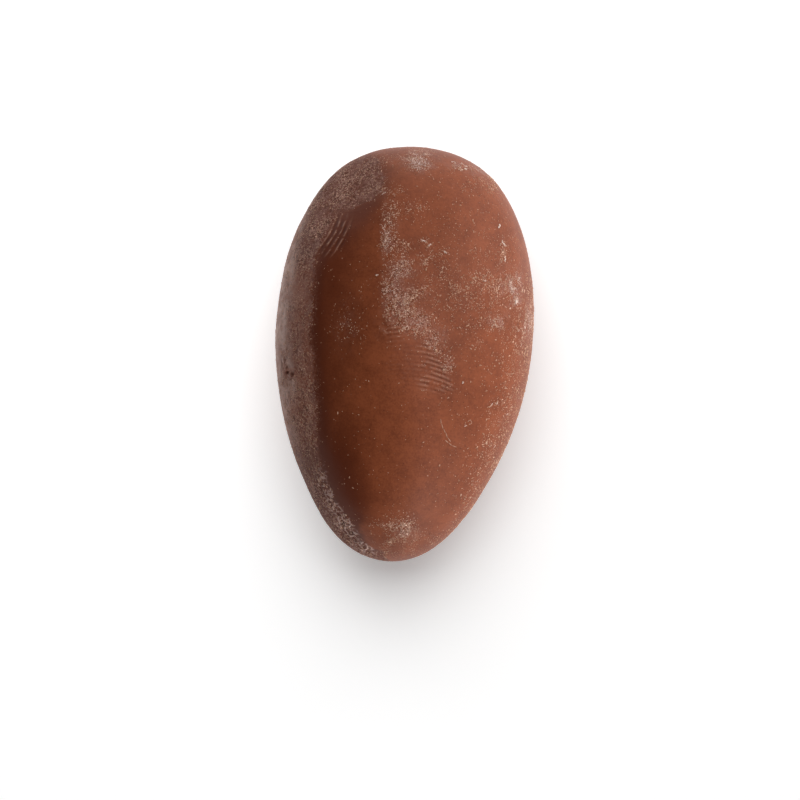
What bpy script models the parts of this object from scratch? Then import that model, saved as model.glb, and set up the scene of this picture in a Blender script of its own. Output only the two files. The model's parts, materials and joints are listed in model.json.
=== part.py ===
"""An almond-shaped milk chocolate lying on its belly, at real size.

The frame is in metres with +Z up. X runs across the sweet, Y along it with the tapered tip at -Y and the
blunt end at +Y, and the origin lies in the middle of its bounding box's underside. The sweet is one solid.
A cube is divided, blown up to a ball, and the ball is drawn out to the almond. Two faint facets run along
it, broad presses flatten the form where fingers held it, small dents mark its skin, a flat spot under the
belly lets it rest, and the whole is trimmed to the driving sizes.
"""

import math

import bmesh
import bpy
from mathutils import Vector, noise

# Driving dimensions
LENGTH = 0.0340
WIDTH = 0.0210
HEIGHT = 0.0155
CROWN_HEIGHT = 0.0092  # from the widest level up to the back, before it is pressed
BELLY_DEPTH = 0.0064  # from the widest level down to the floor
FLAT_SPOT_CUT = 0.00040  # how much of the belly's curve the resting flat takes off

# Plan outline: how much fuller than an ellipse it is, along the length
WAIST_FULLNESS = 0.9855
EGG_TAPER = 0.131
EGG_WAIST = -0.006
EGG_SHOULDER = 0.079
END_BLUNTNESS = 0.114

# Side view: the blunt end is thicker than the tip
CROWN_TAPER = 0.10
CROWN_BLUNTNESS = 0.10
BELLY_TAPER = 0.07
TIP_DROOP = 0.0006  # the tip's centre lies this much below the widest level

# Cross-section: 2 is an ellipse, more is boxier
CROWN_SQUARENESS = 2.08
BELLY_SQUARENESS = 2.15

# Facets pressed along the whole length. They are given in the section's own measure, where half the width
# and the height of the crown are both 1: which way the facet faces (0 is +X, 90 is up), how far from the
# section's middle it lies, how much it turns over the half length, and how fast it gives way lengthwise.
FACETS = {
    "left_flank": (math.radians(117.0), 0.997, 0.0, 0.055),
    "back": (math.radians(81.0), 0.983, math.radians(18.0), 0.020),
}
FACET_SOFTNESS = 0.012
FACET_STATION = 0.35  # where along the half length the facets lie deepest
LEAST_FACING = 0.3  # a facet cuts only the skin that faces its way at least this much

# Presses: a point of the pressed plane, its outward direction, and how softly it meets the round
PRESSES = {
    "upper_left_shoulder": (Vector((-0.0050, 0.0101, 0.0127)), Vector((-0.52, 0.52, 0.68)), 0.00035),
    "upper_right_shoulder": (Vector((0.0095, 0.0109, 0.0065)), Vector((0.92, 0.38, 0.20)), 0.00055),
    "upper_left_side": (Vector((-0.0100, 0.0091, 0.0064)), Vector((-0.90, 0.42, 0.10)), 0.00030),
}

# Dents: centre on the skin, reach and depth
DENTS = {
    "side_nick": (Vector((-0.0090, -0.0027, 0.0104)), 0.00090, 0.00030),
    "tip_scuff": (Vector((-0.0033, -0.0150, 0.0087)), 0.00150, 0.00022),
    "thumb_hollow": (Vector((0.0027, -0.0012, 0.0153)), 0.00420, 0.00010),
}

# Hand-made unevenness: wave size and height
LUMP_SIZE = 0.0060
LUMP_HEIGHT = 0.00013
LUMP_SEED = Vector((3.7, 1.9, 8.2))

CUBE_DIVISIONS = 24
LARGEST_EXPONENT = 40.0  # keeps the smooth bends from overflowing
SHARP_ANGLE = math.radians(40)
CHOCOLATE_COLOUR = (0.19, 0.068, 0.036, 1.0)
CHOCOLATE_ROUGHNESS = 0.48


def clear_scene():
    for old in list(bpy.data.objects):
        bpy.data.objects.remove(old)


def chocolate_material():
    material = bpy.data.materials.new("milk_chocolate")
    material.use_nodes = True
    shader = material.node_tree.nodes["Principled BSDF"]
    shader.inputs["Base Color"].default_value = CHOCOLATE_COLOUR
    shader.inputs["Roughness"].default_value = CHOCOLATE_ROUGHNESS
    shader.inputs["Metallic"].default_value = 0.0
    material.diffuse_color = CHOCOLATE_COLOUR
    return material


def divided_cube(divisions):
    """A cube from -1 to 1 whose faces are a grid of squares."""
    grid = bmesh.new()
    bmesh.ops.create_cube(grid, size=2.0)
    bmesh.ops.subdivide_edges(grid, edges=grid.edges[:], cuts=divisions - 1, use_grid_fill=True)
    return grid


def ball_direction(corner):
    """The unit direction of a cube point, spread so that the squares come out nearly even on the ball."""
    even = Vector([math.tan(value * math.pi / 4) for value in corner])
    return even.normalized()


def superellipse_reach(across, up, squareness):
    """How far a section of that squareness reaches along the unit direction (across, up)."""
    return (abs(across) ** squareness + abs(up) ** squareness) ** (-1 / squareness)


def softer_of(far, near, softness):
    """The smaller of two distances, with a smooth bend where they are alike."""
    return near - softness * math.log1p(math.exp((near - far) / softness))


def faceted_reach(reach, across, up, station):
    """That reach, cut back where a facet crosses the section."""
    along = station - FACET_STATION
    for facing_angle, distance, turn, relax in FACETS.values():
        angle = facing_angle + turn * along
        facing = across * math.cos(angle) + up * math.sin(angle)
        if facing > LEAST_FACING:
            reach = softer_of(reach, (distance + relax * along**2) / facing, FACET_SOFTNESS)
    return reach


def almond_point(direction):
    """The point of the faceted almond, before presses and dents, in that direction of the unit ball."""
    station = max(-1.0, min(1.0, direction.y))
    ring = math.sqrt(max(0.0, 1 - station**2))
    outline = WAIST_FULLNESS + EGG_TAPER * station + EGG_WAIST * station**2
    outline += EGG_SHOULDER * station**3 + END_BLUNTNESS * station**4
    crown = 1 + CROWN_TAPER * station + CROWN_BLUNTNESS * station**4
    belly = 1 + BELLY_TAPER * station
    length = math.hypot(direction.x, direction.z) or 1.0
    across, up = direction.x / length, direction.z / length
    upper = up > 0
    reach = superellipse_reach(across, up, CROWN_SQUARENESS if upper else BELLY_SQUARENESS)
    if upper:
        reach = faceted_reach(reach, across, up, station)
    reach *= ring
    half_height = CROWN_HEIGHT * crown if upper else (BELLY_DEPTH + FLAT_SPOT_CUT) * belly
    droop = TIP_DROOP * min(0.0, station) * abs(station)
    return Vector((
        WIDTH / 2 * outline * reach * across,
        LENGTH / 2 * station,
        BELLY_DEPTH + half_height * reach * up + droop,
    ))


def softened(height, softness):
    """Nearly 0 below the pressed plane and nearly the height above it, with a smooth bend between."""
    return softness * math.log1p(math.exp(min(height / softness, LARGEST_EXPONENT)))


def pressed(point):
    for place, direction, softness in PRESSES.values():
        outward = direction.normalized()
        point = point - outward * softened((point - place).dot(outward), softness)
    return point


def dented(point, outward):
    for centre, reach, depth in DENTS.values():
        share = (point - centre).length / reach
        point = point - outward * (depth * math.exp(-(share**2)))
    return point


def lumpy(point, outward):
    return point + outward * (LUMP_HEIGHT * noise.noise(point / LUMP_SIZE + LUMP_SEED))


def skin_point(direction):
    """The point of the finished skin in that direction, with the belly's flat spot at Z 0."""
    outward = Vector((direction.x / WIDTH, direction.y / LENGTH, direction.z / (CROWN_HEIGHT + BELLY_DEPTH)))
    outward.normalize()
    point = pressed(almond_point(direction))
    point = dented(lumpy(point, outward), outward)
    point.z = max(point.z, 0.0)
    return point


def trim_to_size(form):
    """Bring the form's box to the driving sizes, centred on the origin and standing on Z 0."""
    low = [min(corner.co[axis] for corner in form.verts) for axis in range(3)]
    high = [max(corner.co[axis] for corner in form.verts) for axis in range(3)]
    middle = Vector(((low[0] + high[0]) / 2, (low[1] + high[1]) / 2, 0.0))
    bmesh.ops.translate(form, verts=form.verts[:], vec=-middle)
    stretch = [size / (high[axis] - low[axis]) for axis, size in enumerate((WIDTH, LENGTH, HEIGHT))]
    bmesh.ops.scale(form, verts=form.verts[:], vec=stretch)


def make_chocolate(collection):
    form = divided_cube(CUBE_DIVISIONS)
    for corner in form.verts:
        corner.co = skin_point(ball_direction(corner.co))
    trim_to_size(form)
    mesh = bpy.data.meshes.new("almond_chocolate")
    form.to_mesh(mesh)
    form.free()
    mesh.shade_smooth()
    mesh.set_sharp_from_angle(angle=SHARP_ANGLE)
    mesh.materials.append(chocolate_material())
    sweet = bpy.data.objects.new("almond_chocolate", mesh)
    collection.objects.link(sweet)
    return sweet


def main():
    clear_scene()
    parts = bpy.data.collections.new("almond_shaped_chocolate")
    bpy.context.scene.collection.children.link(parts)
    make_chocolate(parts)


main()
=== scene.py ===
"""A Blender add-on that dresses the almond-shaped chocolate: its skin, dust and stage."""

import json
import math

import bmesh
import bpy
import numpy as np
from mathutils import Matrix, Vector, noise
from mathutils.bvhtree import BVHTree

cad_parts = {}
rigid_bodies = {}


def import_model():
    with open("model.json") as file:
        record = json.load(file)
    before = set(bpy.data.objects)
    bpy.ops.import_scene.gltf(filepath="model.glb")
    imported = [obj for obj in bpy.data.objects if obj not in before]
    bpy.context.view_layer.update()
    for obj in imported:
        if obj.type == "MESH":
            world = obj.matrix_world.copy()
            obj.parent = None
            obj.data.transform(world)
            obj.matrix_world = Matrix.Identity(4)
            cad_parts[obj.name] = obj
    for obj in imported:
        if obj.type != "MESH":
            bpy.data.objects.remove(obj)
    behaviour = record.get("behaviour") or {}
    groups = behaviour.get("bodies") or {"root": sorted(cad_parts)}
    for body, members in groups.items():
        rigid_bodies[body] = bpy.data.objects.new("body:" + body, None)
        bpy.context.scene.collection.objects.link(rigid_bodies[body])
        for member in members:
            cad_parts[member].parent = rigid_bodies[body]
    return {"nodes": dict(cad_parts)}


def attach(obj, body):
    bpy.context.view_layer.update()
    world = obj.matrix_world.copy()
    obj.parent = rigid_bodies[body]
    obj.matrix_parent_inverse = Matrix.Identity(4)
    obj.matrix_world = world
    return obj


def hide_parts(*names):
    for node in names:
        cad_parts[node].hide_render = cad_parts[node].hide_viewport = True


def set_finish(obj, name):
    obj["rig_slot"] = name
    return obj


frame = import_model()

bl_info = {
    "name": "Almond-shaped chocolate",
    "version": (1, 0, 0),
    "blender": (4, 5, 0),
    "location": "3D View > Sidebar > Chocolate",
    "description": "Dresses an almond-shaped chocolate with skin, prints, dust and a pale stage",
    "category": "Add Mesh",
}

NODE = "almond_chocolate"
BODY = "root"
SLOT = "milk_chocolate"
SKIN = "chocolate_skin"
MM = 0.001
WELD_REACH = 1e-6

# The camera hangs straight above the sweet, which leans a little in its picture. Marks are laid out in
# millimetres as that camera sees them on the level plane through the sweet's widest outline.
WIDEST_LEVEL = 6.4
CAMERA_ABOVE = 181.6
CAMERA_SPOT = (0.08, -3.73)
CAMERA_LEAN = math.radians(4.58)

# The greyer side: for each place along the sweet (Y), how far right (X) its film of fat bloom comes
FILM_EDGE = (
    (-16.9, -0.1), (-16.1, -1.2), (-15.4, -2.4), (-13.8, -3.5), (-12.3, -4.8), (-10.7, -5.6), (-9.1, -6.1),
    (-5.9, -6.5), (-2.7, -6.9), (1.4, -7.6), (5.1, -7.6), (7.3, -7.5), (8.8, -7.2), (10.2, -6.5),
    (11.2, -5.5), (11.9, -4.4), (12.4, -3.2), (13.1, -2.7), (15.1, -3.2), (16.0, -4.1), (16.6, -5.0),
)
# More about the film, in pairs of a place along the sweet and a value: how ragged and how soft its edge is,
# how far it bleeds past the edge, how pale it is, and how crumbly
EDGE_RAGGEDNESS = ((-16.5, 2.5), (-15.0, 1.0), (12.8, 1.0), (15.5, 3.0))
FILM_SOFTNESS = ((-8.0, 0.45), (-5.0, 0.9), (4.0, 1.0), (7.0, 1.0), (10.0, 0.6), (12.0, 0.5), (14.0, 1.2))
FILM_BLEED = ((-8.0, 0.35), (-5.0, 0.7), (6.0, 0.6), (10.0, 0.25), (12.3, 0.2), (14.0, 1.0))
FILM_STRENGTH = ((-16.0, 0.0), (-12.0, 0.05), (-7.0, 0.8), (0.0, 1.3), (4.0, 1.35), (9.0, 1.05), (14.0, 0.8))
FILM_CRUMBS = ((-14.0, 0.6), (-9.0, 0.8), (-5.0, 0.9), (0.0, 0.6), (5.0, 0.6), (9.0, 0.85))
# How far right of the film the tip is shaded, and how crumbly the drift is, in the same way
TIP_SHADE_REACH = ((-16.0, 0.6), (-14.2, 1.2), (-13.5, 2.5), (-12.0, 4.3), (-9.0, 4.4))
DRIFT_CRUMBS = ((-2.0, 0.5), (2.0, 1.3), (6.0, 1.2), (8.0, 0.7), (10.0, 0.5))
# The drift of dust along the back: where it starts on the left, for each place along the sweet
DRIFT_EDGE = (
    (-2.0, 4.2), (-1.2, 3.4), (-0.2, 2.9), (0.5, 2.2), (1.1, 1.2), (1.5, 0.0), (2.0, -1.1), (2.8, -1.9),
    (5.1, -2.3), (10.0, -2.7), (13.0, -2.7),
)
# The drift's clouds of dust: middle X and Y, reach across and along, and how dense
DRIFT_CLOUDS = (
    (-2.1, 10.7, 0.7, 1.1, 0.45), (-2.1, 9.2, 0.6, 1.0, 0.35), (-1.1, 8.8, 1.0, 0.6, 0.4),
    (-0.4, 7.1, 0.8, 0.7, 0.6), (-1.1, 6.5, 0.7, 0.6, 0.65), (-1.6, 5.2, 0.7, 0.8, 0.6),
    (-0.7, 4.7, 0.9, 0.7, 0.7), (-1.1, 3.4, 1.0, 0.6, 0.5), (0.3, 3.3, 1.0, 0.7, 0.6),
    (1.2, 2.8, 0.7, 0.6, 0.65), (0.6, 4.8, 0.7, 0.5, 0.45), (1.3, 5.6, 0.6, 0.6, 0.35),
    (0.3, 2.2, 1.0, 0.5, 0.5), (2.1, 1.9, 1.1, 0.6, 0.5), (2.7, 0.8, 0.7, 0.7, 0.45),
    (3.6, -0.5, 0.5, 0.7, 0.35), (-1.6, 11.8, 1.0, 0.5, 0.35), (0.3, 12.1, 1.0, 0.6, 0.25),
    (-1.6, 13.2, 0.7, 0.4, 0.35),
)
# Patches of dust elsewhere, given in the same way
DUST_PATCHES = (
    (-4.7, 2.0, 1.0, 1.6, 0.09), (-2.8, 13.3, 0.4, 0.5, 0.3), (-2.7, 15.6, 0.8, 0.5, 0.1),
    (-1.0, 15.9, 1.0, 0.6, 0.12), (0.1, 15.9, 0.8, 0.7, 0.7), (3.6, 10.2, 3.2, 3.8, 0.03),
    (0.9, 9.5, 0.4, 0.2, 0.3), (1.5, 9.0, 0.3, 0.3, 0.3), (2.7, 8.7, 0.4, 0.3, 0.35),
    (1.2, 7.7, 0.5, 0.4, 0.3), (2.6, 6.3, 0.5, 0.7, 0.15),
    (3.7, 5.6, 0.5, 0.7, 0.15), (4.7, 5.8, 0.7, 0.7, 0.12), (1.9, 4.6, 3.3, 2.5, 0.075),
    (6.5, 6.2, 1.0, 1.0, 0.18), (7.5, 5.7, 0.6, 1.1, 0.22), (8.5, 6.4, 0.6, 1.0, 0.45),
    (8.9, 5.1, 0.2, 0.3, 1.0), (7.5, 3.4, 0.6, 0.6, 0.4), (6.1, 2.9, 1.1, 0.6, 0.12),
    (5.6, 4.5, 1.3, 1.1, 0.08), (5.4, 7.2, 1.8, 0.6, 0.1), (10.0, 3.6, 0.35, 1.3, 0.5),
    (9.8, 1.0, 0.4, 0.7, 0.4), (9.5, -2.0, 0.4, 0.6, 0.3), (7.5, 9.2, 0.3, 1.1, 0.3),
    (6.2, 14.4, 0.6, 0.6, 0.25), (5.0, 14.5, 0.9, 0.7, 0.12), (3.8, 15.6, 1.0, 0.2, 0.4),
    (6.1, 1.3, 0.4, 0.5, 0.2), (8.4, -4.7, 0.5, 0.4, 0.3), (7.4, -6.6, 0.4, 0.3, 0.25),
    (1.7, -13.8, 0.5, 0.5, 0.4), (1.3, -14.5, 0.5, 0.4, 0.42), (0.7, -14.1, 1.4, 0.8, 0.26),
    (1.5, -15.9, 2.0, 0.7, 0.1), (2.0, -14.7, 0.7, 0.6, 0.25), (0.3, -15.3, 0.5, 0.3, 0.25),
    (-0.1, -16.2, 0.3, 0.5, 0.3), (4.1, -14.9, 0.9, 0.45, 0.2),
)
# Purplish haze of the finest dust, given in the same way. The narrow patches along the upper right rim, at
# (3.8, 15.8) and (5.3, 15.3), and down the right rim at (10.0, 3.3), are painted sheen on those rims.
HAZE_AND_RIM_SHEEN_PATCHES = (
    (-2.0, 9.7, 0.7, 1.8, 0.5), (-0.7, 6.7, 1.0, 1.1, 0.55), (-1.1, 4.6, 1.0, 1.3, 0.55),
    (0.6, 2.9, 1.4, 0.8, 0.5), (2.3, 1.4, 1.2, 0.9, 0.4), (3.5, -0.7, 0.8, 0.8, 0.3),
    (0.1, 15.9, 1.0, 0.8, 0.8), (0.3, 16.0, 2.0, 0.7, 0.4), (-2.8, 13.3, 0.5, 0.7, 0.4),
    (8.5, 6.2, 0.9, 1.4, 0.65), (8.9, 5.1, 0.4, 0.4, 1.0), (7.5, 3.4, 0.7, 0.6, 0.5),
    (10.0, 3.3, 0.4, 1.6, 0.7), (3.8, 15.8, 1.0, 0.3, 0.8), (5.3, 15.3, 0.9, 0.35, 0.7),
    (-4.7, 2.0, 1.0, 1.7, 0.25), (1.2, -14.2, 1.3, 0.9, 0.3),
)
# The scuffed skin at the left of the tip, given in the same way
SCUFFS = (
    (-5.6, -10.7, 0.7, 1.2, 0.5), (-4.6, -12.3, 0.7, 1.2, 0.7), (-3.5, -14.0, 0.8, 1.0, 0.9),
    (-2.8, -14.9, 0.6, 0.7, 0.6), (-1.7, -15.9, 0.9, 0.6, 0.9),
)
# Larger flecks: X, Y, length, width and the way they point, in degrees from X
FLECKS = (
    (2.9, 16.0, 0.4, 0.18, -10), (3.8, 15.8, 0.65, 0.16, -25), (3.9, 15.5, 0.25, 0.2, 0),
    (4.7, 15.6, 0.65, 0.11, -28), (7.0, 11.1, 0.4, 0.25, 85), (7.5, 9.7, 0.6, 0.22, -55),
    (7.7, 8.4, 0.5, 0.22, 95), (8.9, 5.0, 0.5, 0.4, 75), (9.0, 6.9, 0.4, 0.13, 60), (8.6, 6.1, 0.5, 0.2, 25),
    (8.3, 6.6, 0.25, 0.16, 0), (6.2, 6.5, 0.25, 0.16, 0), (0.9, 9.4, 0.4, 0.15, -10),
    (1.5, 9.1, 0.3, 0.15, 35), (2.8, 8.6, 0.3, 0.16, -30), (-2.6, 6.3, 0.25, 0.14, 20),
    (-2.6, 13.0, 0.35, 0.11, 30), (8.0, -3.3, 0.4, 0.22, 80), (7.6, -3.5, 0.25, 0.15, 65),
    (8.9, -4.2, 0.25, 0.15, 65), (7.4, -6.6, 0.3, 0.12, 55), (8.1, -6.9, 0.3, 0.12, 60),
    (5.6, -5.4, 0.25, 0.1, 25), (9.3, 2.7, 0.2, 0.13, 85), (9.6, 1.6, 0.25, 0.14, 85),
    (5.1, -1.9, 0.25, 0.14, 85), (-9.1, -2.4, 0.25, 0.08, 60), (-9.2, -2.7, 0.2, 0.07, -30),
)
# The curled fibre, its fork and the ring beside it
FIBRES = (
    ((3.5, -5.0), (3.6, -5.4), (3.8, -5.8), (4.0, -6.1), (4.2, -6.5), (4.5, -6.8)),
    ((4.0, -6.7), (4.3, -6.9), (4.6, -7.1), (5.0, -7.2)),
)
FIBRE_WIDTH = 0.08
RING_MIDDLE = (5.9, -5.1)
RING_RADIUS = 0.17
RING_TURNS = range(-2, 4)
# The second finger print, on the upper left: its middle, its ridges' lean and pitch, and its dark ground
SECOND_PRINT = (-6.0, 9.22)
SECOND_PRINT_LEAN = math.radians(66.6)
SECOND_PRINT_PITCH = 0.40
PRINTED_GROUND = (-5.7, 9.4)
# The main print's bowed ridges: where they turn back, how much they bow, and the middles of its faint parts
BOW_TURN = 0.8
BOW = 0.0575
FAINT_LEFT = (-1.2, 2.3)
FAINT_MIDDLE = (0.4, 0.0)
# The nick in the left wall, and the small holes in and above it: their places from its middle, their reach
# across and along, and their depth
NICK = (-9.1, -2.3)
NICK_HOLES = (
    (-0.14, 0.07, 0.1, 0.1, 0.2), (0.27, -0.07, 0.07, 0.2, 0.2), (0.2, -0.44, 0.1, 0.08, 0.14),
    (-0.24, 0.5, 0.06, 0.12, 0.12), (-0.42, 1.07, 0.06, 0.14, 0.12), (-0.69, 1.38, 0.06, 0.1, 0.12),
)
NICK_LEVEL = 6.0
PIT_SIZES = (0.07, 0.16)
# Marks are only on skin that faces up at least this much
LEAST_UP = -0.1
# Where the skin needs the finest squares: the main print from left to right and from near to far, then the
# second print, the nick and the scuffed tip, each with its middle, its stretch along the sweet and its reach
MAIN_PRINT_ZONE = (-1.5, 4.9, -4.1, 2.6)
FINE_ZONES = ((-6.4, 9.0, 2.1, 1.25), (-9.05, -2.3, 1.0, 0.9), (-2.9, -14.7, 1.2, 1.6))
# Soft lights on the sweet: side (0 right, 90 top), height and power. The wash lights the floor.
KEYS = (
    (-60, 14, 1.05), (30, 58, 0.755), (30, 14, 0.726), (0, 14, 0.442), (90, 14, 0.389),
    (-15, 58, 0.304), (60, 14, 0.286), (75, 58, 0.10), (-60, 34, 0.09),
)
KEY_SIZE = 0.35
WASH = (90, 55)
WASH_SIZE = 0.50
LIGHT_DISTANCE = 0.5
FLOOR_REACH = 1.0


def eased(low, high, value):
    """0 below low, 1 above high, and a smooth rise between."""
    share = np.clip((value - low) / (high - low), 0.0, 1.0)
    return share * share * (3 - 2 * share)


def as_seen(points):
    """The places, in millimetres, where the camera above sees these points on the widest level."""
    nearer = 1 - (points[:, 2] / MM - WIDEST_LEVEL) / CAMERA_ABOVE
    return CAMERA_SPOT + (points[:, :2] / MM - CAMERA_SPOT) / nearer[:, None]


def camera_place():
    return Vector((*CAMERA_SPOT, WIDEST_LEVEL + CAMERA_ABOVE)) * MM


def wavy(points, size, seed, stretch=1.0):
    """Smooth noise from -1 to 1 at each point, with waves of that size. Each seed gives another pattern."""
    offset = Vector((seed * 1.7, seed * 3.1, seed * 0.9))
    scaled = points / (size * np.array(stretch))
    return np.array([noise.noise(Vector(place) + offset) for place in scaled])


def along_at(stations, along):
    """The value that these pairs of place and value give at each place along the sweet."""
    return np.interp(along, *np.array(stations).T)


def patches_at(patches, seen):
    """How dense the soft patches are over each place. Where they overlap they thicken."""
    clear = np.ones(len(seen))
    for x, y, across, along, dense in patches:
        share = ((seen[:, 0] - x) / across) ** 2 + ((seen[:, 1] - y) / along) ** 2
        clear *= 1 - dense * np.exp(-share)
    return 1 - clear


def apart(x, y, middle):
    """How far each place lies from a middle, across and along."""
    return x - middle[0], y - middle[1]


def bare_at(x, y):
    """The bare skin inside the nick."""
    return 0.6 * eased(0.65, 0.35, np.hypot(*apart(x, y, NICK)))


def printed_at(x, y):
    """The dark ground of the second finger print."""
    across, along = apart(x, y, PRINTED_GROUND)
    return np.exp(-((across**2 + (along / 2.0) ** 2) ** 2))


def upper_at(normals):
    """1 on the skin that faces up, 0 on the belly."""
    return eased(-0.15, 0.1, normals[:, 2])


def ragged_edge_at(points, y):
    """How far right the film comes. Its ragged edge strays most at the two ends."""
    ragged = 0.25 * wavy(points, 0.9 * MM, 4) + 0.12 * wavy(points, 0.3 * MM, 5)
    ragged = ragged * along_at(EDGE_RAGGEDNESS, y)
    ragged += 1.2 * wavy(points, 2.4 * MM, 25) * eased(13.0, 16.5, np.abs(y))
    return along_at(FILM_EDGE, y) + ragged


def film_cover_at(points, normals):
    """Where the left wall is greyed by fat bloom, fading at a ragged edge."""
    x, y = as_seen(points).T
    cover = eased(-along_at(FILM_BLEED, y), along_at(FILM_SOFTNESS, y), ragged_edge_at(points, y) - x)
    return cover * (1 - 0.9 * printed_at(x, y)) * eased(-0.9, -0.2, normals[:, 2])


def film_and_rim_reflection_at(points, normals):
    """How pale the film is: thin bloom over most of the wall, and far paler at its rim, where the paleness is
    a painted reflection of the pale floor.
    """
    x, y = as_seen(points).T
    streaks = 0.85 + 0.30 * wavy(points, 0.5 * MM, 6, (1.0, 4.0, 4.0))
    # Far paler on the steep left rim: a painted reflection of the pale floor over the thin bloom
    wall = 0.18 + 0.82 * eased(0.78, 0.97, -normals[:, 0])
    film = wall * streaks * along_at(FILM_STRENGTH, y)
    return np.clip(film * (1 - 0.85 * printed_at(x, y)) * (1 - bare_at(x, y)), 0, 1)


def right_of_drift_edge(x, y):
    """How far each place lies right of the drift's left edge."""
    return x - along_at(DRIFT_EDGE, y)


def drift_at(seen):
    """The drift along the back: clouds of dust, cut off by its edge on the left."""
    return 0.62 * patches_at(DRIFT_CLOUDS, seen) * eased(-0.12, 0.15, right_of_drift_edge(*seen.T))


def strands_at(points):
    """The dust gathers in fine branching strands: little between them, more along them."""
    across = np.abs(wavy(points, 0.75 * MM, 8))
    finer = np.abs(wavy(points, 0.33 * MM, 10))
    return 0.30 + 1.5 * np.clip(1 - 5.0 * across, 0, 1) + 0.9 * np.clip(1 - 4.0 * finer, 0, 1)


def rim_at(normals, y):
    """The dusty rim down the sweet's right."""
    return eased(0.55, 0.85, normals[:, 0]) * eased(8.5, 5.5, y)


def dust_at(points, normals):
    """How thickly the pale dust lies."""
    seen = as_seen(points)
    x, y = seen.T
    clumps = 1 + 0.9 * wavy(points, 1.1 * MM, 9)
    dust = np.maximum(drift_at(seen), patches_at(DUST_PATCHES, seen))
    dust = np.maximum(dust, 0.11 * rim_at(normals, y)) + 0.006 + 0.014 * eased(2.0, 6.0, x)
    dust = dust * np.clip(clumps, 0.15, 2.2) * strands_at(points)
    return np.clip(dust, 0, 1) * eased(-0.5, 0.0, normals[:, 2])


def grit_at(points, normals):
    """How many of the larger grains lie there: few in the drift, more at the right and the tip."""
    seen = as_seen(points)
    x, y = seen.T
    clumps = np.clip(1 + 1.2 * wavy(points, 1.7 * MM, 22), 0.1, 2.4) * strands_at(points)
    grit = np.maximum(0.4 * drift_at(seen), 0.9 * patches_at(DUST_PATCHES, seen) - 0.07)
    grit = np.maximum(grit, 0.16 * rim_at(normals, y)) + 0.004 + 0.020 * eased(1.0, 5.0, x)
    return np.clip(grit * clumps, 0, 1) * eased(-0.5, 0.0, normals[:, 2])


def rough_at(points, normals, cover, scuffed):
    """How crumbly the skin looks: in the film, in the drift and at the scuffed tip."""
    seen = as_seen(points)
    x, y = seen.T
    patchy = np.clip(1 + 1.1 * wavy(points, 1.3 * MM, 23), 0.4, 1.5)
    patchy *= 1 - 0.35 * eased(0.88, 0.98, -normals[:, 0])
    filmed = cover * along_at(FILM_CRUMBS, y) * patchy * (1 - bare_at(x, y))
    drifted = 1.6 * drift_at(seen) * along_at(DRIFT_CRUMBS, y)
    dusty = np.maximum(drifted, 0.8 * patches_at(DUST_PATCHES, seen)) * upper_at(normals)
    rough = np.maximum.reduce((filmed, dusty, 0.5 * scuffed))
    return np.clip(rough, 0, 1.3) * eased(0.1, 0.8, points[:, 2] / MM)


def haze_and_rim_sheen_at(points, normals):
    """How thick the purplish haze of the finest dust is, with the painted sheen along the right rims. In the
    drift it is cut off by the drift's edge.
    """
    seen = as_seen(points)
    x, y = seen.T
    in_drift = (y < 13.1) & (y > -2.1) & (x > -3.6)
    kept = np.where(in_drift, eased(-0.08, 0.12, right_of_drift_edge(x, y)), 1.0)
    cloud = np.clip(0.8 + 0.9 * wavy(points, 0.9 * MM, 11), 0, 1.3)
    return np.clip(patches_at(HAZE_AND_RIM_SHEEN_PATCHES, seen) * kept * cloud, 0, 1) * upper_at(normals)


def shade_at(points, normals):
    """The darker skin beside the film, left of the tip and under the upper film, and the second print's dark
    ground. Beside and under the film this darkening is painted shade on the strip that faces away from the
    lights; the print's ground is the chocolate's own.
    """
    x, y = as_seen(points).T
    right = x - ragged_edge_at(points, y)
    tip_reach = along_at(TIP_SHADE_REACH, y)
    tip = eased(-2.5, -9.5, y) * eased(1.15 * tip_reach, 0.4 * tip_reach, right)
    upper = 0.8 * eased(0.5, 5.0, y) * eased(12.2, 10.6, y) * eased(4.2, 1.2, right)
    # Painted shade: darker where the skin faces left, away from the lights
    flank = eased(0.30, 0.55, -normals[:, 0])
    beside = eased(-0.6, 0.3, right) * np.maximum.reduce((flank, tip, upper))
    under = 0.9 * eased(0.5, -0.3, right) * np.maximum(eased(5.0, 8.0, y), eased(-5.0, -10.0, y))
    under *= eased(0.97, 0.85, -normals[:, 0])
    return np.clip(np.maximum.reduce((beside, under, printed_at(x, y))), 0, 1)


def main_print_at(points, settings):
    """The finger's ridges on the back: bowed lines, strong where the tip pressed and faint to the left."""
    x, y = as_seen(points).T
    bowed = y + BOW * (x - BOW_TURN) ** 2
    wobble = 0.05 * wavy(points, 1.1 * MM, 13)
    ridge = np.cos((bowed + wobble) * 2 * math.pi / (settings.ridge_pitch / MM))
    end = 2.95 - 0.85 * np.maximum(y, -1.8)
    start = 1.1 + 0.25 * np.cos(y * 5.0)
    strong = eased(-0.3, 0.9, x - start) * eased(0.0, 0.3, end - x)
    strong = strong * eased(-3.2, -2.3, y) * eased(1.5, 0.9, y)
    across, along = apart(x, y, FAINT_LEFT)
    faint = 0.65 * eased(1.1, 0.5, np.hypot(across / 1.5, along / 1.7))
    across, along = apart(x, y, FAINT_MIDDLE)
    faint = np.maximum(faint, 0.16 * eased(1.2, 0.6, np.hypot(across / 2.0, along / 2.6)))
    broken = np.clip(0.7 + 1.1 * wavy(points, 0.6 * MM, 14) + 1.0 * wavy(points, 0.22 * MM, 15), 0.05, 1.3)
    return ridge * np.maximum(strong, faint) * broken


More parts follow.
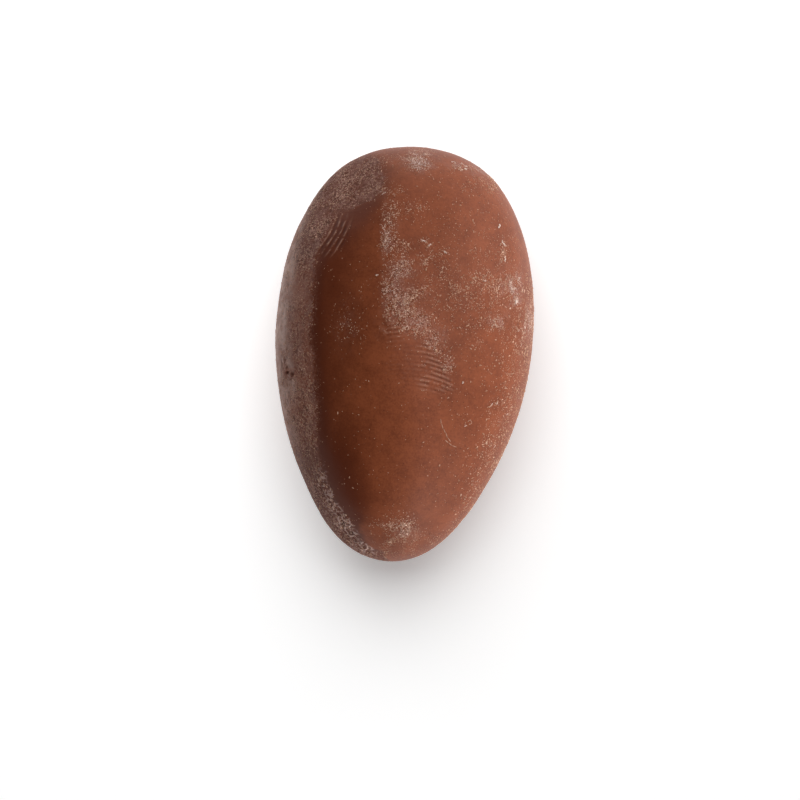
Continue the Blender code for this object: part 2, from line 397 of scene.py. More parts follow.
def second_print_at(points):
    """A few fine, nearly straight ridges on the upper left."""
    x, y = apart(*as_seen(points).T, SECOND_PRINT)
    rise, run = math.sin(SECOND_PRINT_LEAN), math.cos(SECOND_PRINT_LEAN)
    across = x * rise - y * run
    along = x * run + y * rise
    across = across + 0.05 * along**2 + 0.05 * wavy(points, 0.9 * MM, 16)
    held = eased(0.9, 0.6, np.abs(across + 0.1)) * eased(2.3, 1.0, np.abs(along - 0.5 * across))
    broken = np.clip(0.6 + 1.3 * wavy(points, 0.5 * MM, 19) + 0.8 * wavy(points, 0.2 * MM, 20), 0.0, 1.1)
    crest = np.clip(np.cos(across * 2 * math.pi / SECOND_PRINT_PITCH), -1, 1)
    return np.where(crest > 0, crest**3, crest) * held * broken


def pits_at(points, normals, cover, generator, settings):
    """Small pits in the rough skin of the left wall and the upper left."""
    depth = np.zeros(len(points))
    rough = cover * (normals[:, 2] > LEAST_UP)
    chosen = generator.choice(len(points), settings.pit_count, replace=False, p=rough / rough.sum())
    sizes = generator.uniform(*PIT_SIZES, settings.pit_count) * MM
    for place, size in zip(points[chosen], sizes):
        share = ((points - place) ** 2).sum(axis=1) / size**2
        depth = np.maximum(depth, size * 0.45 * np.exp(-share))
    return depth


def nick_at(points):
    """The nick's small holes, with the skin pushed up round them."""
    x, y = apart(*as_seen(points).T, NICK)
    lift = np.zeros(len(points))
    for aside, further, across, along, depth in NICK_HOLES:
        share = ((x - aside) / across) ** 2 + ((y - further) / along) ** 2
        lift -= depth * MM * np.exp(-share)
        lift += 0.2 * depth * MM * np.exp(-((np.sqrt(share) - 2.1) ** 2))
    return lift * (points[:, 2] > NICK_LEVEL * MM)


def crumbly_at(points, normals):
    """How scuffed the skin is at the left of the tip, and the lift of its crumbs."""
    seen = as_seen(points)
    x, y = seen.T
    right = x - along_at(FILM_EDGE, y) + 0.25 * wavy(points, 0.5 * MM, 24)
    scuffed = patches_at(SCUFFS, seen) * eased(0.45, 0.0, right) * eased(-0.7, -0.3, normals[:, 2])
    rugged = 1 - 2.2 * np.abs(wavy(points, 0.42 * MM, 17))
    return scuffed, scuffed * (0.060 * rugged + 0.030 * wavy(points, 0.2 * MM, 18)) * MM


def skin_relief(points, normals, cover, settings):
    """How far each point moves out, its ridges from valley (-1) to crest (1), and how scuffed it is."""
    generator = np.random.default_rng(settings.seed)
    ridges = main_print_at(points, settings) * upper_at(normals)
    fine_ridges = second_print_at(points) * upper_at(normals)
    scuffed, crumbly = crumbly_at(points, normals)
    lift = settings.wave_height * wavy(points, 1.6 * MM, 1)
    lift += 0.35 * settings.wave_height * wavy(points, 0.55 * MM, 2) * (0.5 + 0.5 * cover)
    lift += settings.ridge_height / 2 * (ridges + 0.5 * fine_ridges)
    lift += crumbly + nick_at(points) - pits_at(points, normals, cover, generator, settings)
    lift *= eased(0.0, 0.8, points[:, 2] / MM)
    crests = np.clip(0.65 * np.clip(ridges, -2, 1) + 1.3 * fine_ridges, -1, 1)
    return lift, crests, scuffed


def as_arrays(form):
    form.normal_update()
    points = np.array([vert.co for vert in form.verts])
    normals = np.array([vert.normal for vert in form.verts])
    return points, normals


def rounded_copy(node):
    """The node's mesh, merged, with its squares restored and rounded by two levels of subdivision."""
    form = bmesh.new()
    form.from_mesh(node.data)
    bmesh.ops.remove_doubles(form, verts=form.verts[:], dist=WELD_REACH)
    bmesh.ops.join_triangles(
        form, faces=form.faces[:], angle_face_threshold=math.pi, angle_shape_threshold=math.pi
    )
    mesh = bpy.data.meshes.new("cage")
    form.to_mesh(mesh)
    form.free()
    for name in ("custom_normal", "sharp_edge"):
        if name in mesh.attributes:
            mesh.attributes.remove(mesh.attributes[name])
    cage = bpy.data.objects.new("cage", mesh)
    bpy.context.scene.collection.objects.link(cage)
    rounding = cage.modifiers.new("Rounding", "SUBSURF")
    rounding.levels = rounding.render_levels = 2
    rounded = bpy.data.meshes.new_from_object(cage.evaluated_get(bpy.context.evaluated_depsgraph_get()))
    bpy.data.objects.remove(cage)
    return rounded


def refine(form, inside, cuts):
    """Cut finer squares into the skin where it carries fine marks."""
    marked = {vert for vert, wanted in zip(form.verts, inside) if wanted}
    edges = [edge for edge in form.edges if edge.verts[0] in marked and edge.verts[1] in marked]
    bmesh.ops.subdivide_edges(form, edges=edges, cuts=cuts, use_grid_fill=True)


def fine_zone(points, normals):
    """Where the fine marks are."""
    x, y = as_seen(points).T
    left, right, near, far = MAIN_PRINT_ZONE
    fine = (x > left) & (x < right) & (y > near) & (y < far)
    for *middle, stretch, reach in FINE_ZONES:
        across, along = apart(x, y, middle)
        fine |= np.hypot(across, along / stretch) < reach
    return fine & (normals[:, 2] > LEAST_UP)


def wall_zone(points, normals):
    """Where the pitted wall is, outside the fine marks."""
    x, y = as_seen(points).T
    wall = (along_at(FILM_EDGE, y) - x > -0.3) & (normals[:, 2] > LEAST_UP)
    return wall & ~fine_zone(points, normals)


def add_attributes(mesh, **marks):
    """Store one value for each point of the mesh under each name."""
    for name, values in marks.items():
        attribute = mesh.attributes.new(name, "FLOAT", "POINT")
        attribute.data.foreach_set("value", np.asarray(values, dtype=np.float32))


def read_attribute(mesh, name):
    values = np.zeros(len(mesh.vertices), dtype=np.float32)
    mesh.attributes[name].data.foreach_get("value", values)
    return values


def link_piece(name, mesh, material):
    mesh.materials.clear()
    mesh.materials.append(material)
    mesh.shade_smooth()
    piece = bpy.data.objects.new(name, mesh)
    bpy.context.scene.collection.objects.link(piece)
    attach(piece, BODY)
    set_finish(piece, SLOT)
    return piece


def add_node(tree, kind, label, **settings):
    node = tree.nodes.new(kind)
    node.label = label
    for name, value in settings.items():
        setattr(node, name, value)
    return node


def feed(tree, socket, value):
    """Give a socket its value: another node's output, a number or a plain colour."""
    if isinstance(value, bpy.types.NodeSocket):
        tree.links.new(value, socket)
    elif socket.type == "RGBA":
        socket.default_value = (*value, 1.0)
    else:
        socket.default_value = value


def value_range(tree, source, *limits):
    """A smooth remap of a value, for use as a mask: from low, from high, to low and to high."""
    node = add_node(tree, "ShaderNodeMapRange", "Range", interpolation_type="SMOOTHSTEP")
    for socket, value in zip(node.inputs, (source, *limits)):
        feed(tree, socket, value)
    return node.outputs["Result"]


def calculated(tree, operation, *values):
    node = add_node(tree, "ShaderNodeMath", operation.title(), operation=operation)
    for socket, value in zip(node.inputs, values):
        feed(tree, socket, value)
    return node.outputs["Value"]


def product(tree, first, second):
    return calculated(tree, "MULTIPLY", first, second)


def mixed(tree, label, share, first, second):
    """A colour between first and second."""
    node = add_node(tree, "ShaderNodeMix", label, data_type="RGBA")
    feed(tree, node.inputs["Factor"], share)
    for name, value in (("A", first), ("B", second)):
        feed(tree, next(s for s in node.inputs if s.name == name and s.type == "RGBA"), value)
    return next(s for s in node.outputs if s.type == "RGBA")


def noise_at(tree, vector, label, scale, detail=2.0, roughness=0.5):
    node = add_node(tree, "ShaderNodeTexNoise", label)
    for name, value in (("Vector", vector), ("Scale", scale), ("Detail", detail), ("Roughness", roughness)):
        feed(tree, node.inputs[name], value)
    return node.outputs["Fac"]


def mark_at(tree, name):
    """One of the mesh's own marks."""
    return add_node(tree, "ShaderNodeAttribute", name.title(), attribute_name=name).outputs["Fac"]


def placed_group(tree, group, label, **inputs):
    """A node of that group, with its inputs fed."""
    node = add_node(tree, "ShaderNodeGroup", label, node_tree=group)
    for name, value in inputs.items():
        feed(tree, node.inputs[name], value)
    return node.outputs


def new_group(name, inputs, outputs):
    """An empty node group that takes a place and these numbers, and gives numbers."""
    group = bpy.data.node_groups.new(name, "ShaderNodeTree")
    group.interface.new_socket("Vector", in_out="INPUT", socket_type="NodeSocketVector")
    for label, value in inputs.items():
        socket = group.interface.new_socket(label, in_out="INPUT", socket_type="NodeSocketFloat")
        socket.default_value = value
    for label in outputs:
        group.interface.new_socket(label, in_out="OUTPUT", socket_type="NodeSocketFloat")
    return group, group.nodes.new("NodeGroupInput").outputs, group.nodes.new("NodeGroupOutput").inputs


def specks_group():
    """Separate specks of dust: a share of the cells, each with its own size."""
    group, given, result = new_group("Dust specks", {"Spacing": 0.16, "Cover": 0.5}, ("Mask",))
    cells = add_node(group, "ShaderNodeTexVoronoi", "Cells")
    feed(group, cells.inputs["Vector"], given["Vector"])
    feed(group, cells.inputs["Scale"], calculated(group, "DIVIDE", 1.0 / MM, given["Spacing"]))
    parts = add_node(group, "ShaderNodeSeparateColor", "Cell numbers")
    feed(group, parts.inputs["Color"], cells.outputs["Color"])
    there = calculated(group, "LESS_THAN", parts.outputs["Red"], given["Cover"])
    reach = calculated(group, "MULTIPLY_ADD", parts.outputs["Green"], 0.30, 0.22)
    inside = calculated(group, "SUBTRACT", reach, cells.outputs["Distance"])
    bright = calculated(group, "MULTIPLY_ADD", parts.outputs["Blue"], 0.6, 0.4)
    spot = product(group, value_range(group, inside, 0.0, 0.16), there)
    feed(group, result["Mask"], product(group, spot, bright))
    return group


def crumbs_group():
    """Pale curls, broken here and there, and the dark gaps beside them, from one cloudy pattern."""
    group, given, result = new_group("Crumbs", {"Size": 0.16}, ("Crumbs", "Gaps"))
    scale = calculated(group, "DIVIDE", 1.0 / MM, given["Size"])
    cloud = noise_at(group, given["Vector"], "Cloud", scale, 1.0)
    finer = noise_at(group, given["Vector"], "Breaks", product(group, scale, 1.9), 1.0)
    away = calculated(group, "ABSOLUTE", calculated(group, "SUBTRACT", cloud, 0.53))
    curls = product(
        group, value_range(group, away, 0.025, 0.085, 1.0, 0.0), value_range(group, finer, 0.41, 0.52)
    )
    feed(group, result["Crumbs"], curls)
    feed(group, result["Gaps"], value_range(group, cloud, 0.36, 0.46, 1.0, 0.0))
    return group


def grain_bump_group():
    """The finest unevenness, as a height for bumps."""
    group, given, result = new_group("Fine unevenness", {}, ("Height",))
    coarse = noise_at(group, given["Vector"], "Coarse", 3200.0)
    fine = noise_at(group, given["Vector"], "Fine", 9000.0, 1.0)
    feed(group, result["Height"], calculated(group, "MULTIPLY_ADD", fine, 0.35, coarse))
    return group


def new_material(name):
    material = bpy.data.materials.new(name)
    material.use_nodes = True
    return material, material.node_tree, material.node_tree.nodes["Principled BSDF"]


def skin_material(settings):
    material, tree, shader = new_material(SKIN)
    vector = add_node(tree, "ShaderNodeTexCoord", "Place").outputs["Object"]
    names = ("cover", "film", "dust", "haze", "shade", "crest", "valley", "rough", "scuffed")
    marks = {name: mark_at(tree, name) for name in names}
    masks = {"Crests": marks["crest"], "Valleys": marks["valley"]}
    specks = specks_group()
    for label, spacing, thick in (
        ("Coarse specks", 0.13, 0.55), ("Fine specks", 0.09, 0.9), ("Dark specks", 0.11, 1.6)
    ):
        cover = product(tree, marks["dust"], thick)
        masks[label] = placed_group(tree, specks, label, Vector=vector, Spacing=spacing, Cover=cover)["Mask"]
    pattern = crumbs_group()
    for label, mark, size in (("Small", "rough", 0.31), ("Large", "scuffed", 0.55)):
        crumbs = placed_group(tree, pattern, f"{label} crumbs", Vector=vector, Size=size)
        for kind in ("crumbs", "gaps"):
            masks[f"{label} {kind}"] = product(tree, marks[mark], crumbs[kind.title()])

    tone = noise_at(tree, vector, "Broad tone", 500.0, 4.0, 0.6)
    for label, scale, weight in (("Finer tone", 2600.0, 0.45), ("Finest tone", 6500.0, 0.8)):
        tone = calculated(tree, "ADD", tone, product(tree, noise_at(tree, vector, label, scale), weight))
    tone = value_range(tree, tone, 0.80, 1.45)
    clean = mixed(tree, "Milk tone", tone, settings.deep_colour, settings.clean_colour)
    # Painted shade from the shade mark on the strip that faces away from the lights, and the second print's
    # darker ground
    clean = mixed(tree, "Oily shade", marks["shade"], clean, settings.shade_colour)
    streaky = noise_at(tree, vector, "Film cloud", 900.0, 3.0, 0.6)
    film = product(tree, marks["film"], value_range(tree, streaky, 0.3, 0.7, 0.45, 1.0))
    ragged = calculated(tree, "ADD", marks["cover"], noise_at(tree, vector, "Film edge", 4000.0, 2.0, 0.6))
    film = product(tree, film, value_range(tree, ragged, 0.80, 1.20))
    cloud = noise_at(tree, vector, "Haze cloud", 1500.0, 3.0, 0.6)
    haze = product(tree, marks["haze"], value_range(tree, cloud, 0.35, 0.65, 0.0, 0.7))
    # The film's colour is thin bloom on the wall, and at the left rim a painted reflection of the floor
    colour = mixed(tree, "Film", film, clean, settings.film_and_rim_reflection_colour)
    # The haze is the finest dust, and along the right rims a painted sheen
    colour = mixed(tree, "Haze", haze, colour, settings.haze_and_rim_sheen_colour)
    for label, share, tint in (
        # Painted shade in the dark gaps between the crumbs
        ("Small gaps", 0.45, settings.pit_colour),
        ("Large gaps", 1.0, settings.pit_colour),
        ("Small crumbs", 0.55, settings.crumb_colour),
        ("Large crumbs", 1.0, settings.scuff_colour),
        ("Crests", 0.45, settings.dust_colour),
        # Painted shade in the valleys between the ridges and in tiny pits, as well as less dust there
        ("Valleys", 0.70, settings.valley_colour),
        ("Dark specks", 1.0, settings.valley_colour),
        ("Fine specks", 0.35, settings.dust_colour),
        ("Coarse specks", 0.9, settings.dust_colour),
    ):
        colour = mixed(tree, label, product(tree, masks[label], share), colour, tint)
    feed(tree, shader.inputs["Base Color"], colour)

    rough = calculated(tree, "MULTIPLY_ADD", marks["dust"], 0.15, settings.roughness)
    matte = product(tree, marks["cover"], 0.2)
    feed(tree, shader.inputs["Roughness"], calculated(tree, "ADD", rough, matte))
    feed(tree, shader.inputs["Specular IOR Level"], settings.specular)
    feed(tree, shader.inputs["IOR"], 1.45)
    height = placed_group(tree, grain_bump_group(), "Fine unevenness", Vector=vector)["Height"]
    height = calculated(tree, "ADD", height, product(tree, masks["Coarse specks"], 0.8))
    for kind, operation in (("crumbs", "ADD"), ("gaps", "SUBTRACT")):
        height = calculated(tree, operation, height, masks[f"Small {kind}"])
        height = calculated(tree, operation, height, product(tree, masks[f"Large {kind}"], 2.0))
    bump = add_node(tree, "ShaderNodeBump", "Relief")
    for name, value in (("Strength", 1.0), ("Distance", settings.bump_height), ("Height", height)):
        feed(tree, bump.inputs[name], value)
    feed(tree, shader.inputs["Normal"], bump.outputs["Normal"])
    return material


def dust_material(name, dull, bright, cool=None):
    material, tree, shader = new_material(name)
    # Grains in the haze turn cooler, also where the haze is painted rim sheen
    if cool:
        bright = mixed(tree, "Cool grains", mark_at(tree, "haze"), bright, cool)
    feed(tree, shader.inputs["Base Color"], mixed(tree, "Grain tone", mark_at(tree, "tone"), dull, bright))
    feed(tree, shader.inputs["Roughness"], 0.7)
    feed(tree, shader.inputs["Specular IOR Level"], 0.3)
    return material


def joined_grains(name, places, turns, sizes, rounded=True):
    """One mesh of many grains, each stretched to its three sizes, turned and put in place."""
    form = bmesh.new()
    if rounded:
        bmesh.ops.create_icosphere(form, subdivisions=1, radius=1.0)
    else:
        bmesh.ops.create_uvsphere(form, u_segments=4, v_segments=2, radius=1.0)
    points = np.array([vert.co for vert in form.verts])
    faces = np.array([[vert.index for vert in face.verts] for face in form.faces])
    form.free()
    shaped = points[None] * sizes[:, None, :]
    corners = np.einsum("nij,nkj->nki", turns, shaped) + places[:, None, :]
    starts = np.arange(len(places))[:, None, None] * len(points)
    mesh = bpy.data.meshes.new(name)
    mesh.from_pydata(corners.reshape(-1, 3), [], (faces[None] + starts).reshape(-1, 3))
    return mesh, len(points)


def upright_turns(normals, angles):
    """A turn for each grain: its third axis along the skin's normal, its first turned by the angle."""
    across = np.cross((0.0, 1.0, 0.0), normals)
    across /= np.linalg.norm(across, axis=1)[:, None]
    along = np.cross(normals, across)
    cosine, sine = np.cos(angles)[:, None], np.sin(angles)[:, None]
    first = across * cosine + along * sine
    second = along * cosine - across * sine
    return np.stack((first, second, normals), axis=2)


def colour_setting(name, description, default):
    """A colour that a user can change."""
    return bpy.props.FloatVectorProperty(
        name=name, description=description, default=default, subtype="COLOR", min=0, max=1
    )


def length_setting(name, description, default):
    """A length of less than a millimetre that a user can change."""
    return bpy.props.FloatProperty(
        name=name, description=description, default=default, subtype="DISTANCE", precision=6, min=1e-6, max=MM
    )


class SkinSettings(bpy.types.PropertyGroup):
    clean_colour: colour_setting("Clean colour", "Clean milk chocolate", (0.315, 0.0785, 0.0275))
    deep_colour: colour_setting("Deep colour", "Darker clouds in the chocolate", (0.208, 0.0475, 0.0158))
    # Painted shade on the strip that faces away from the lights, and the print's dark ground
    shade_colour: colour_setting("Shade colour", "Painted shade on the dark strip, and the print's dark ground", (0.135, 0.0242, 0.0056))
    # Fat bloom on the left wall, and the painted reflection of the floor at its rim
    film_and_rim_reflection_colour: colour_setting("Film colour", "Fat bloom on the left wall, and the painted reflection at its rim", (0.72, 0.50, 0.44))
    # Painted shade in small pits and in the gaps between crumbs
    pit_colour: colour_setting("Pit colour", "Small dark pits", (0.070, 0.022, 0.012))
    crumb_colour: colour_setting("Crumb colour", "Crumbs in the film and the drift", (0.63, 0.35, 0.27))
    scuff_colour: colour_setting("Scuff colour", "Pale curls at the scuffed tip", (0.95, 0.66, 0.58))
    # Painted shade in the valleys between the finger's ridges and in tiny pits
    valley_colour: colour_setting("Valley colour", "Skin between the finger's ridges", (0.080, 0.018, 0.007))
    # Finest dust, and the painted sheen on the right rims
    haze_and_rim_sheen_colour: colour_setting("Haze colour", "Finest dust seen as a haze, and the painted sheen on the right rims", (0.35, 0.20, 0.170))
    dust_colour: colour_setting("Dust colour", "Dust in the skin", (0.64, 0.37, 0.27))
    roughness: bpy.props.FloatProperty(
        name="Roughness", description="Roughness of the clean skin", default=0.5, min=0, max=1
    )
    specular: bpy.props.FloatProperty(
        name="Specular", description="Strength of the skin's reflections", default=0.30, min=0, max=1
    )
    bump_height: length_setting("Bump height", "Height of the finest unevenness", 0.000012)
    wave_height: length_setting("Wave height", "Height of the soft waves in the skin", 0.000020)
    ridge_pitch: length_setting("Ridge pitch", "Distance between the finger's ridges", 0.00038)
    ridge_height: length_setting("Ridge height", "Height of the finger's ridges", 0.000075)
    pit_count: bpy.props.IntProperty(
        name="Pits", description="Number of pits in the left wall", default=260, min=1, max=2000
    )
    seed: bpy.props.IntProperty(name="Seed", description="Changes the order of the pits", default=5, min=0)


class DustSettings(bpy.types.PropertyGroup):
    fine_count: bpy.props.IntProperty(
        name="Fine grains", description="Number of the finest grains", default=23500, min=1, max=24900
    )
    fine_radius: length_setting("Fine radius", "Radius of the finest grains", 0.000023)
    grain_count: bpy.props.IntProperty(
        name="Grains", description="Number of the larger grains", default=2300, min=1, max=9900
    )
    grain_radius: length_setting("Grain radius", "Radius of the larger grains", 0.000036)
    sunk: bpy.props.FloatProperty(
        name="Sunk", description="Share of a grain's height that is in the skin", default=0.45, min=0, max=0.9
    )
    dull_colour: colour_setting("Dull colour", "Dullest grains", (0.47, 0.225, 0.13))
    bright_colour: colour_setting("Bright colour", "Brightest grains", (1.0, 0.68, 0.50))
    cool_colour: colour_setting("Cool colour", "Bright grains in the haze", (0.92, 0.74, 0.69))
    fleck_colour: colour_setting("Fleck colour", "Brightest flecks", (1.0, 0.86, 0.78))
    seed: bpy.props.IntProperty(name="Seed", description="Changes where the grains lie", default=11, min=0)


class StageSettings(bpy.types.PropertyGroup):
    floor_glow: bpy.props.FloatProperty(
        name="Floor glow", description="Light that the floor gives off", default=0.38, min=0, max=2
    )
    floor_wash: bpy.props.FloatProperty(
        name="Floor wash", description="Power of the light that casts the shadow", default=3.5, min=0,
        unit="POWER",
    )
    key_scale: bpy.props.FloatProperty(
        name="Key scale", description="Strength of the lights on the sweet", default=1.08, min=0, max=5
    )
    lens: bpy.props.FloatProperty(
        name="Lens", description="Focal length of the camera", default=100.0, min=10, max=300, unit="CAMERA"
    )


class CHOCOLATE_OT_make_skin(bpy.types.Operator):
    """Make the skin that stands for the plain solid, with its prints, pits and nick"""

    bl_idname = "chocolate.make_skin"
    bl_label = "Make skin"

    def execute(self, context):
        settings = context.scene.chocolate_skin
        mesh = rounded_copy(frame["nodes"][NODE])
        form = bmesh.new()
        form.from_mesh(mesh)
        refine(form, wall_zone(*as_arrays(form)), cuts=1)
        refine(form, fine_zone(*as_arrays(form)), cuts=2)
        points, normals = as_arrays(form)
        cover = film_cover_at(points, normals)
        lift, crests, scuffed = skin_relief(points, normals, cover, settings)
        for vert, height in zip(form.verts, lift):
            vert.co += vert.normal * float(height)
        form.to_mesh(mesh)
        form.free()
        mesh.name = SKIN
        crest, valley = np.clip(crests, 0, 1), np.clip(-crests, 0, 1)
        dust = np.clip(dust_at(points, normals) * (1 - 0.4 * valley) + 0.15 * crest, 0, 1)
        # Of these marks, shade is painted shade beside the film, film also holds a painted reflection of the
        # floor at the left rim, and haze also holds painted sheen along the right rims
        add_attributes(
            mesh,
            cover=cover,
            film=film_and_rim_reflection_at(points, normals),
            rough=rough_at(points, normals, cover, scuffed),
            scuffed=np.clip(scuffed, 0, 1),
            dust=dust,
            haze=np.clip(haze_and_rim_sheen_at(points, normals) + 0.4 * scuffed, 0, 1),
            grit=np.clip(grit_at(points, normals) + 0.5 * scuffed, 0, 1),
            shade=shade_at(points, normals),
            crest=crest,
            valley=np.clip(valley + 0.25 * scuffed, 0, 1),
        )
        piece = link_piece(SKIN, mesh, skin_material(settings))
        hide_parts(NODE)
        return {"FINISHED"}


class CHOCOLATE_OT_scatter_dust(bpy.types.Operator):
    """Scatter the pale grains of bloom over the skin, thick where the dust lies thick"""

    bl_idname = "chocolate.scatter_dust"
    bl_label = "Scatter dust"

    def scatter(self, name, count, radius, mark, rough_share, rounded, generator, settings):
        """That many grains, spread by the skin's mark and a share of its roughness."""
        skin = bpy.data.objects[SKIN].data
        triangles = skin.loop_triangles
        points = np.array([vert.co for vert in skin.vertices])
        corners = np.array([triangle.vertices for triangle in triangles])
        normals = np.array([triangle.normal for triangle in triangles])
        areas = np.array([triangle.area for triangle in triangles])
        marks = read_attribute(skin, mark) + rough_share * read_attribute(skin, "rough")
        thick = marks[corners].mean(axis=1)
        chance = areas * thick**1.15
        chosen = generator.choice(len(corners), count, p=chance / chance.sum())
        shares = generator.dirichlet((1.0, 1.0, 1.0), count)
        places = np.einsum("ni,nij->nj", shares, points[corners[chosen]])
        reach = radius * np.exp(generator.normal(0, 0.28, count)).clip(0.5, 1.9)
        stretch = generator.uniform(1.0, 2.8, count)
        sizes = np.stack((reach * stretch, reach, reach * generator.uniform(0.5, 0.9, count)), axis=1)
        places += normals[chosen] * (sizes[:, 2] * (1 - 2 * settings.sunk))[:, None]
        turns = upright_turns(normals[chosen], generator.uniform(0, math.pi, count))
        mesh, each = joined_grains(name, places, turns, sizes, rounded)
        tones = generator.random(count) ** 1.3 * np.clip(0.55 + 1.4 * thick[chosen], 0, 1)
        haze = np.clip(1.6 * read_attribute(skin, "haze")[corners[chosen]].mean(axis=1), 0, 1)
        add_attributes(mesh, tone=np.repeat(tones, each), haze=np.repeat(haze, each))
        return mesh

    def execute(self, context):
        settings = context.scene.chocolate_dust
        generator = np.random.default_rng(settings.seed)
        bpy.data.objects[SKIN].data.calc_loop_triangles()
        colours = settings.dull_colour, settings.bright_colour, settings.cool_colour
        material = dust_material("bloom_dust", *colours)
        for name, count, radius, mark, rough_share, rounded in (
            ("bloom_dust", settings.fine_count, settings.fine_radius, "dust", 0.17, False),
            ("bloom_grains", settings.grain_count, settings.grain_radius, "grit", 0.035, True),
        ):
            mesh = self.scatter(name, count, radius, mark, rough_share, rounded, generator, settings)
            link_piece(name, mesh, material)
        return {"FINISHED"}


class CHOCOLATE_OT_place_flecks(bpy.types.Operator):
    """Place the larger flecks and the curled fibre where the camera sees them"""

    bl_idname = "chocolate.place_flecks"
    bl_label = "Place flecks"

    def crumbled(self, fleck, generator):
        """The uneven grains of one fleck, in rows of the same kind."""
        x, y, length, width, angle = fleck
        lean = math.radians(angle)
        count = 2 + round(2.2 * length / width)
        grains = []
        for along in np.linspace(-0.5, 0.5, count) * max(length - 0.6 * width, 0.0):
            aside = generator.uniform(-0.25, 0.25) * width
            size = generator.uniform(0.35, 0.75) * width
            across = x + along * math.cos(lean) - aside * math.sin(lean)
            further = y + along * math.sin(lean) + aside * math.cos(lean)
            grains.append((across, further, size * 1.3, size, generator.uniform(0, 180)))
        return grains

    def threads(self):
        """The fibres and the ring as short straight threads, in rows of the same kind."""
        ways = [Vector((math.cos(turn), math.sin(turn))) for turn in RING_TURNS]
        ring = [Vector(RING_MIDDLE) + RING_RADIUS * way for way in ways]
        rows = []
        for route in (*FIBRES, ring):
            for start, end in zip(map(Vector, route), map(Vector, route[1:])):
                way = end - start
                angle = math.degrees(math.atan2(way.y, way.x))
                rows.append((*((start + end) / 2), 1.2 * way.length, FIBRE_WIDTH, angle))
        return rows

    def execute(self, context):
        settings = context.scene.chocolate_dust
        skin = bpy.data.objects[SKIN].data
        surface = BVHTree.FromPolygons(
            [vert.co for vert in skin.vertices], [tuple(face.vertices) for face in skin.polygons]
        )
        camera = camera_place()
        generator = np.random.default_rng(settings.seed + 1)
        crumbs = self.threads()
        thread_count = len(crumbs)
        for fleck in FLECKS:
            crumbs += self.crumbled(fleck, generator)
        places, normals, sizes, angles = [], [], [], []
        for x, y, length, width, angle in crumbs:
            target = Vector((x, y, WIDEST_LEVEL)) * MM
            place, normal, _, _ = surface.ray_cast(camera, (target - camera).normalized())
            if place is None:
                raise RuntimeError("a fleck lies beside the sweet")
            places.append(place)
            normals.append(normal)
            sizes.append((length / 2 * MM, width / 2 * MM, width / 3 * MM))
            angles.append(math.radians(angle))
        turns = upright_turns(np.array(normals), np.array(angles))
        mesh, each = joined_grains("bloom_flecks", np.array(places), turns, np.array(sizes))
        tones = generator.uniform(0.1, 0.9, len(crumbs))
        tones[:thread_count] = 0.1
        add_attributes(mesh, tone=np.repeat(tones, each))
        material = dust_material("bloom_flecks", settings.dull_colour, settings.fleck_colour)
        link_piece("bloom_flecks", mesh, material)
        return {"FINISHED"}


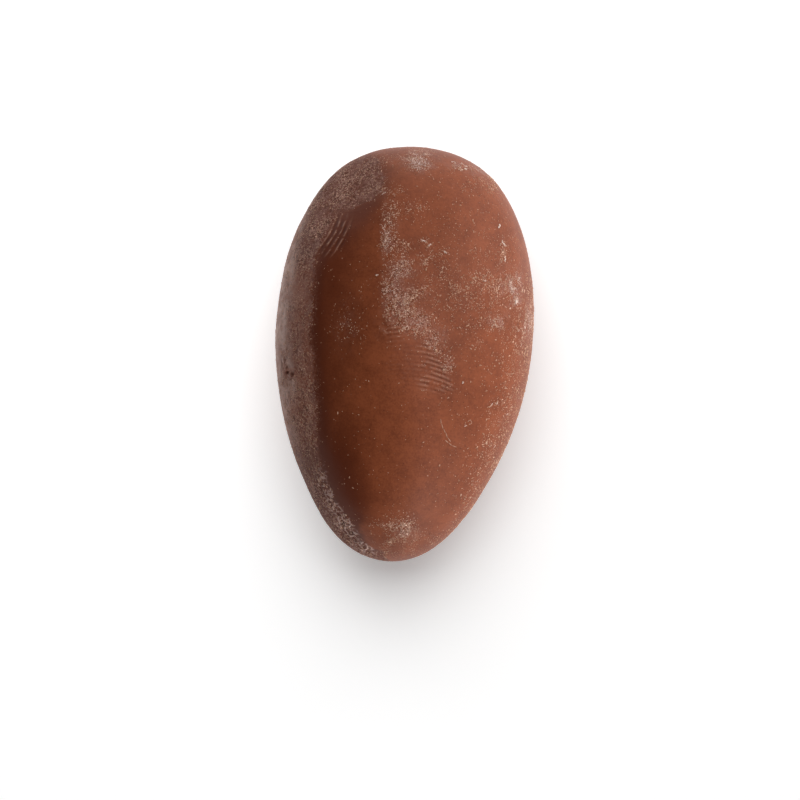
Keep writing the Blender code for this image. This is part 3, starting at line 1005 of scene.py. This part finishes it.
class CHOCOLATE_OT_make_stage(bpy.types.Operator):
    """Make the pale floor, the soft lights and the camera above"""

    bl_idname = "chocolate.make_stage"
    bl_label = "Make stage"

    def soft_light(self, name, side, height, power, size, lit):
        """A soft light that shines on these pieces alone."""
        lamp = bpy.data.lights.new(name, "AREA")
        lamp.shape = "SQUARE"
        lamp.size = size
        lamp.energy = power
        holder = bpy.data.objects.new(name, lamp)
        bpy.context.scene.collection.objects.link(holder)
        turn = math.radians(side) + CAMERA_LEAN
        rise = math.radians(height)
        towards = Vector((math.cos(turn) * math.cos(rise), math.sin(turn) * math.cos(rise), math.sin(rise)))
        holder.location = Vector((0, 0, WIDEST_LEVEL * MM)) + towards * LIGHT_DISTANCE
        holder.rotation_euler = towards.to_track_quat("Z", "Y").to_euler()
        only = bpy.data.collections.new(name + " lights")
        for piece in lit:
            only.objects.link(piece)
        holder.light_linking.receiver_collection = only

    def execute(self, context):
        settings = context.scene.chocolate_stage
        scene = context.scene
        sweet = [piece for piece in scene.objects if piece.get("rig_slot") == SLOT]
        mesh = bpy.data.meshes.new("floor")
        form = bmesh.new()
        bmesh.ops.create_grid(form, x_segments=1, y_segments=1, size=FLOOR_REACH)
        form.to_mesh(mesh)
        form.free()
        material, tree, shader = new_material("pale_floor")
        for name, value in (
            ("Base Color", (0.8, 0.8, 0.8)),
            ("Roughness", 1.0),
            ("Specular IOR Level", 0.0),
            ("Emission Color", (1.0, 1.0, 1.0)),
            ("Emission Strength", settings.floor_glow),
        ):
            feed(tree, shader.inputs[name], value)
        mesh.materials.append(material)
        floor = bpy.data.objects.new("floor", mesh)
        scene.collection.objects.link(floor)
        for number, (side, height, power) in enumerate(KEYS, 1):
            self.soft_light(f"key {number}", side, height, power * settings.key_scale, KEY_SIZE, sweet)
        self.soft_light("floor wash", *WASH, settings.floor_wash, WASH_SIZE, [floor])

        # The room looks white to the camera but lights nothing
        scene.world = world = bpy.data.worlds.new("pale_room")
        world.use_nodes = True
        tree = world.node_tree
        dim, bright = tree.nodes["Background"], add_node(tree, "ShaderNodeBackground", "Bright")
        feed(tree, dim.inputs["Strength"], 0.0)
        feed(tree, bright.inputs["Color"], (1.0, 1.0, 1.0))
        seen = add_node(tree, "ShaderNodeLightPath", "Rays").outputs["Is Camera Ray"]
        choice = add_node(tree, "ShaderNodeMixShader", "Choice")
        for socket, source in zip(choice.inputs, (seen, dim.outputs[0], bright.outputs[0])):
            feed(tree, socket, source)
        feed(tree, tree.nodes["World Output"].inputs["Surface"], choice.outputs[0])
        scene.view_settings.view_transform = "Standard"

        lens = bpy.data.cameras.new("camera")
        lens.lens = settings.lens
        lens.clip_start = MM
        camera = bpy.data.objects.new("camera", lens)
        scene.collection.objects.link(camera)
        camera.matrix_world = Matrix.Translation(camera_place()) @ Matrix.Rotation(CAMERA_LEAN, 4, "Z")
        scene.camera = camera
        return {"FINISHED"}


class CHOCOLATE_PT_pieces(bpy.types.Panel):
    bl_label = "Almond-shaped chocolate"
    bl_space_type = "VIEW_3D"
    bl_region_type = "UI"
    bl_category = "Chocolate"

    def draw(self, context):
        for group, operator in (
            ("chocolate_skin", "chocolate.make_skin"),
            ("chocolate_dust", "chocolate.scatter_dust"),
            (None, "chocolate.place_flecks"),
            ("chocolate_stage", "chocolate.make_stage"),
        ):
            box = self.layout.box()
            if group:
                settings = getattr(context.scene, group)
                for name in settings.__annotations__:
                    box.prop(settings, name)
            box.operator(operator)


SETTINGS = {"chocolate_skin": SkinSettings, "chocolate_dust": DustSettings, "chocolate_stage": StageSettings}
CLASSES = (
    *SETTINGS.values(),
    CHOCOLATE_OT_make_skin,
    CHOCOLATE_OT_scatter_dust,
    CHOCOLATE_OT_place_flecks,
    CHOCOLATE_OT_make_stage,
    CHOCOLATE_PT_pieces,
)


def register():
    for cls in CLASSES:
        bpy.utils.register_class(cls)
    for name, settings in SETTINGS.items():
        setattr(bpy.types.Scene, name, bpy.props.PointerProperty(type=settings))


def unregister():
    for name in SETTINGS:
        delattr(bpy.types.Scene, name)
    for cls in reversed(CLASSES):
        bpy.utils.unregister_class(cls)


def main():
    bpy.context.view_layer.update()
    register()
    bpy.ops.chocolate.make_skin()
    bpy.ops.chocolate.scatter_dust()
    bpy.ops.chocolate.place_flecks()
    bpy.ops.chocolate.make_stage()


if __name__ == "__main__":
    main()
